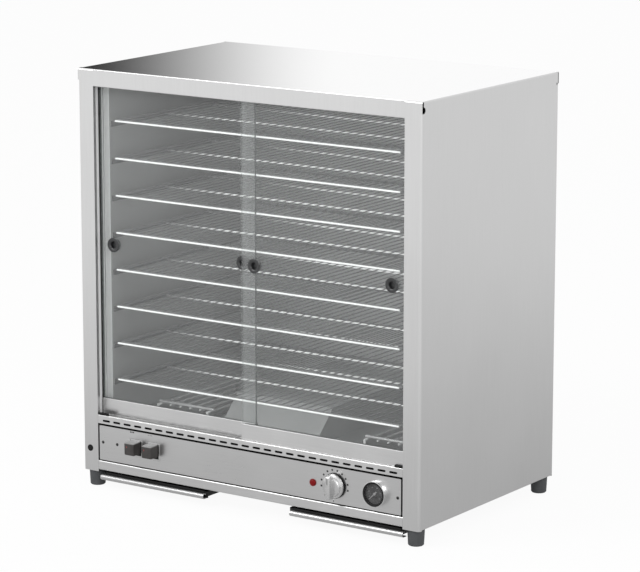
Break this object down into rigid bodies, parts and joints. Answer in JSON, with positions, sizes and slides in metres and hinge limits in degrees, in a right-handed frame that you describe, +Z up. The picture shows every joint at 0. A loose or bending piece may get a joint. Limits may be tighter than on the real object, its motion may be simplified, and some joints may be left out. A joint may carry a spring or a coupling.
{
  "type": "pie display case",
  "caption": "Heated counter cabinet with wire racks behind sliding glass doors, a control panel below and pull-out crumb trays.",
  "frame": {"origin": "centre of the footprint on the bench", "axes": "+X to the right along the front, +Y from the front to the back, +Z up"},
  "size_m": [0.652, 0.4324, 0.686],
  "materials": {
    "stainless": "satin",
    "inner_steel": "satin",
    "tray_steel": "satin",
    "track_aluminium": "satin",
    "rack_chrome": "bright",
    "door_glass": "clear",
    "lamp_cover": "frosted",
    "black_rubber": "matte",
    "grey_rubber": "matte",
    "nylon": "matte",
    "pull_plastic": "semi-gloss",
    "element_sheath": "dull",
    "switch_plastic": "semi-gloss",
    "red_lens": "gloss",
    "control_body": "matte",
    "knob_silver": "satin",
    "shaft_steel": "satin",
    "gauge_chrome": "bright",
    "gauge_face": "matte",
    "needle_white": "satin"
  },
  "bodies": {
    "cabinet": {"outer_shell": "stainless", "back_panel": "stainless", "bottom_pan": "inner_steel", "lower_rail": "stainless", "control_panel": "stainless", "vent_strip": "stainless", "door_track_lower": "track_aluminium", "door_track_upper": "track_aluminium", "jamb_left": "track_aluminium", "jamb_right": "track_aluminium", "door_seals": "black_rubber", "track_stops": "black_rubber", "liner_left": "inner_steel", "liner_right": "inner_steel", "liner_top": "inner_steel", "liner_back": "inner_steel", "floor_pan": "inner_steel", "centre_duct": "inner_steel", "crumb_chutes": "inner_steel", "heating_elements": "element_sheath", "element_guards": "rack_chrome", "rack_1": "rack_chrome", "rack_2": "rack_chrome", "rack_3": "rack_chrome", "rack_4": "rack_chrome", "rack_5": "rack_chrome", "rack_6": "rack_chrome", "rack_7": "rack_chrome", "rack_8": "rack_chrome", "rack_ledges": "inner_steel", "lamp_base": "nylon", "lamp_lens": "lamp_cover", "switch_left_housing": "switch_plastic", "switch_right_housing": "switch_plastic", "pilot_lamp": "red_lens", "thermostat_body": "control_body", "thermometer_case": "gauge_chrome", "thermometer_dial": "gauge_face", "thermometer_glass": "door_glass", "tray_runners": "inner_steel", "feet": "grey_rubber", "post_plug": "black_rubber", "cable_gland": "nylon", "terminal_block": "nylon", "case_screws": "rack_chrome"},
    "right_door": {"right_door_glass": "door_glass", "right_door_rail": "track_aluminium", "right_door_glides": "nylon", "right_door_pulls": "pull_plastic"},
    "left_door": {"left_door_glass": "door_glass", "left_door_rail": "track_aluminium", "left_door_glides": "nylon", "left_door_pulls": "pull_plastic"},
    "switch_left": {"switch_left_rocker": "switch_plastic"},
    "switch_right": {"switch_right_rocker": "switch_plastic"},
    "dial": {"thermostat_shaft": "shaft_steel", "thermostat_knob": "knob_silver"},
    "needle": {"thermometer_needle": "needle_white"},
    "tray_left": {"crumb_tray_left": "tray_steel"},
    "tray_right": {"crumb_tray_right": "tray_steel"}
  },
  "joints": [
    {"name": "right_door_slide", "type": "slide", "parent": "cabinet", "child": "right_door", "axis": [-1, 0, 0], "range_m": [0, 0.284]},
    {"name": "left_door_slide", "type": "slide", "parent": "cabinet", "child": "left_door", "axis": [1, 0, 0], "range_m": [0, 0.284]},
    {"name": "switch_left_rock", "type": "hinge", "parent": "cabinet", "child": "switch_left", "pos_m": [-0.218, -0.1922, 0.077], "axis": [-1, 0, 0], "range_deg": [0, 10]},
    {"name": "switch_right_rock", "type": "hinge", "parent": "cabinet", "child": "switch_right", "pos_m": [-0.183, -0.1922, 0.077], "axis": [-1, 0, 0], "range_deg": [0, 10]},
    {"name": "dial_turn", "type": "hinge", "parent": "cabinet", "child": "dial", "pos_m": [0.17, -0.1952, 0.075], "axis": [0, 1, 0], "range_deg": [0, 270]},
    {"name": "needle_turn", "type": "hinge", "parent": "cabinet", "child": "needle", "pos_m": [0.248, -0.2012, 0.0755], "axis": [0, 1, 0], "range_deg": [0, 250], "stiffness_Nm_per_rad": 0.001},
    {"name": "tray_left_slide", "type": "slide", "parent": "cabinet", "child": "tray_left", "axis": [0, -1, 0], "range_m": [0, 0.29]},
    {"name": "tray_right_slide", "type": "slide", "parent": "cabinet", "child": "tray_right", "axis": [0, -1, 0], "range_m": [0, 0.29]}
  ]
}
